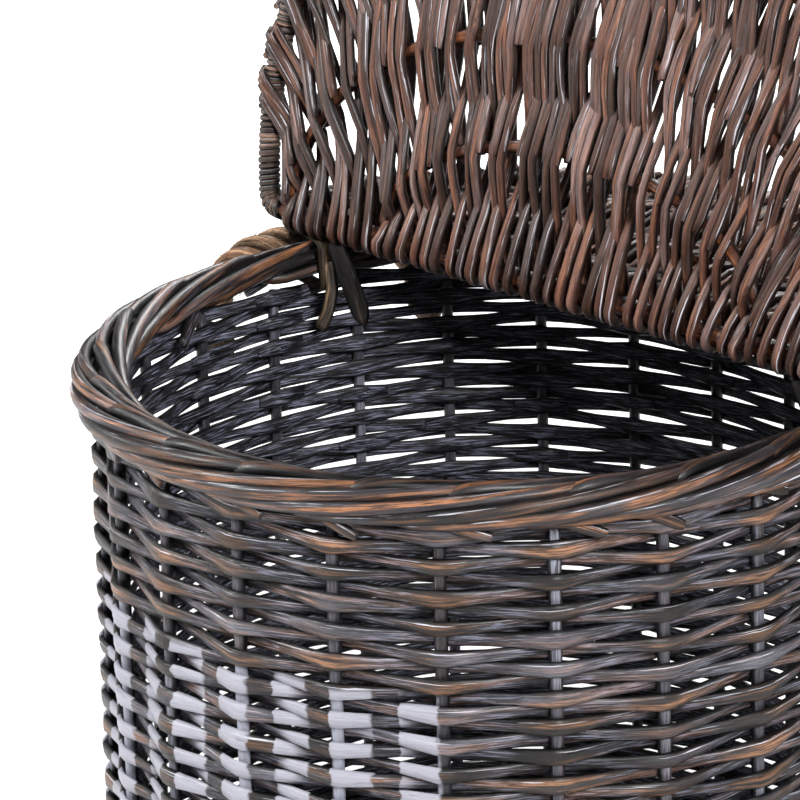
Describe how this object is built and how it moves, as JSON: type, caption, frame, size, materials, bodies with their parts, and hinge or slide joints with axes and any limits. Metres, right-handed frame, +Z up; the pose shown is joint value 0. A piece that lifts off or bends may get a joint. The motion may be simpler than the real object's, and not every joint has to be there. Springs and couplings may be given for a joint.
{
  "type": "wicker log basket",
  "caption": "Round willow log basket with a rolled border, a hinged half lid on a fixed rear deck, and jute rope handles.",
  "frame": {"origin": "on the floor under the middle of the object's bounding box, 18 mm behind the basket's own axis", "axes": "+Z up, +Y towards the fixed rear deck, -Y towards the front, the lid's hinge line along X"},
  "size_m": [0.557, 0.5244, 0.7492],
  "materials": {
    "woven_willow": "stained dark grey-brown split willow, worn",
    "stake_willow": "stained dark round willow",
    "border_willow": "stained dark willow rods, worn to warm brown on top",
    "lid_willow": "reddish brown whole willow rods, satin",
    "peeled_willow": "rough orange-brown peeled sticks",
    "split_willow": "split willow binding, matt",
    "dark_strap": "flat dark strap, matt",
    "jute": "hairy natural jute rope"
  },
  "bodies": {
    "basket": {"foot_wale": "woven_willow", "side_weave": "woven_willow", "rim_border": "border_willow", "base_weave": "woven_willow", "base_stick_1": "stake_willow", "base_stick_2": "stake_willow", "base_stick_3": "stake_willow", "base_stick_4": "stake_willow", "base_stick_5": "stake_willow", "base_stick_6": "stake_willow", "stake_01": "stake_willow", "stake_02": "stake_willow", "stake_03": "stake_willow", "stake_04": "stake_willow", "stake_05": "stake_willow", "stake_06": "stake_willow", "stake_07": "stake_willow", "stake_08": "stake_willow", "stake_09": "stake_willow", "stake_10": "stake_willow", "stake_11": "stake_willow", "stake_12": "stake_willow", "stake_13": "stake_willow", "stake_14": "stake_willow", "stake_15": "stake_willow", "stake_16": "stake_willow", "stake_17": "stake_willow", "stake_18": "stake_willow", "stake_19": "stake_willow", "stake_20": "stake_willow", "stake_21": "stake_willow", "stake_22": "stake_willow", "stake_23": "stake_willow", "stake_24": "stake_willow", "deck_stick": "peeled_willow", "deck_hoop": "lid_willow", "deck_weave": "lid_willow", "deck_rib_1": "peeled_willow", "deck_rib_2": "peeled_willow", "hinge_strap_left": "dark_strap", "hinge_strap_right": "dark_strap", "rim_loop_left": "split_willow", "rim_loop_right": "split_willow", "deck_tie_left": "split_willow", "deck_tie_back": "split_willow", "deck_tie_right": "split_willow"},
    "lid": {"lid_stick": "peeled_willow", "lid_hoop": "lid_willow", "lid_weave": "lid_willow", "lid_rib_1": "peeled_willow", "lid_rib_2": "peeled_willow", "lid_rib_3": "peeled_willow"},
    "handle_left": {"handle_left_rope": "jute", "handle_left_knot_front": "jute", "handle_left_knot_back": "jute"},
    "handle_right": {"handle_right_rope": "jute", "handle_right_knot_front": "jute", "handle_right_knot_back": "jute"}
  },
  "joints": [
    {"name": "lid_hinge", "type": "hinge", "parent": "basket", "child": "lid", "pos_m": [0, 0.03825, 0.4188], "axis": [1, 0, 0], "range_deg": [0, 99]},
    {"name": "handle_left_swing", "type": "hinge", "parent": "basket", "child": "handle_left", "pos_m": [-0.22511, 0.05539, 0.345], "axis": [-0.309, -0.9511, 0], "range_deg": [0, 100]},
    {"name": "handle_right_swing", "type": "hinge", "parent": "basket", "child": "handle_right", "pos_m": [0.22511, 0.05539, 0.345], "axis": [-0.309, 0.9511, 0], "range_deg": [0, 100]}
  ]
}
